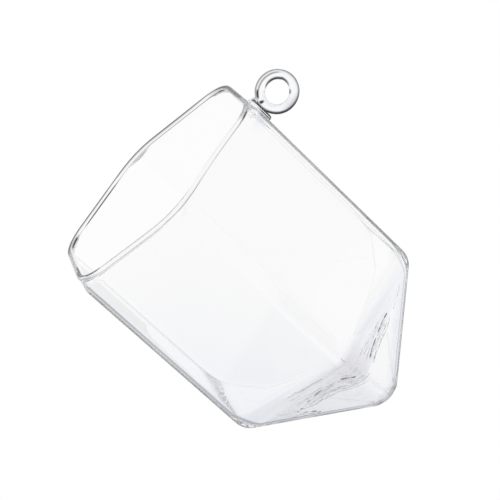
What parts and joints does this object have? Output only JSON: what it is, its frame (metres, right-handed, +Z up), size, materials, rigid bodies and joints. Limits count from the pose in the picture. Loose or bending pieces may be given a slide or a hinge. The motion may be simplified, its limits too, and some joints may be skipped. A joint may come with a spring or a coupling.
{
  "type": "hanging glass terrarium",
  "caption": "Clear glass hanging terrarium: a hexagonal vessel with a pyramid base and an open, tilted mouth, hung by a glass eye welded beside the rim.",
  "frame": {"origin": "middle of the hole of the hanging eye, where the hook or cord passes", "axes": "+Z up as it hangs; the eye, the vessel's axis and its tip lie in the XZ plane; the mouth looks up towards -X and the tip points down towards +X"},
  "size_m": [0.1408, 0.1146, 0.1502],
  "materials": {
    "vessel_glass": "clear blown glass, fire-polished, smooth",
    "pad_glass": "clear glass, melted on by hand",
    "eye_glass": "clear glass rod, bent hot and fire-polished"
  },
  "bodies": {
    "root": {"vessel": "vessel_glass", "eye_pad": "pad_glass", "hanging_eye": "eye_glass"}
  },
  "joints": []
}
